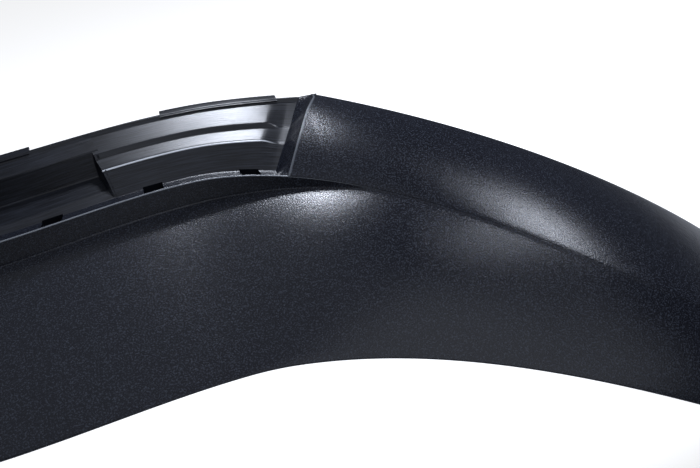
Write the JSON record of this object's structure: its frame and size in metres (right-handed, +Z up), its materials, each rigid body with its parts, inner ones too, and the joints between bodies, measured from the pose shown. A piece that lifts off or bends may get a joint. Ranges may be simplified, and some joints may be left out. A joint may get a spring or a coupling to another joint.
{
  "type": "bumper spoiler",
  "caption": "Curved lower bumper spoiler in grained black plastic, with a stepped mounting flange, clip windows, hook tabs and wings that sweep round to flat screw feet.",
  "frame": {"origin": "middle of the footprint on the ground it lies on", "axes": "+X across the car, +Y towards the car's up, +Z up from the ground, the car's forward"},
  "size_m": [1.7186, 0.403, 0.4097],
  "materials": {
    "grained_plastic": "moulded black polypropylene with a fine grain, smooth on the hidden flange"
  },
  "bodies": {
    "root": {"bumper_spoiler": "grained_plastic"}
  },
  "joints": []
}
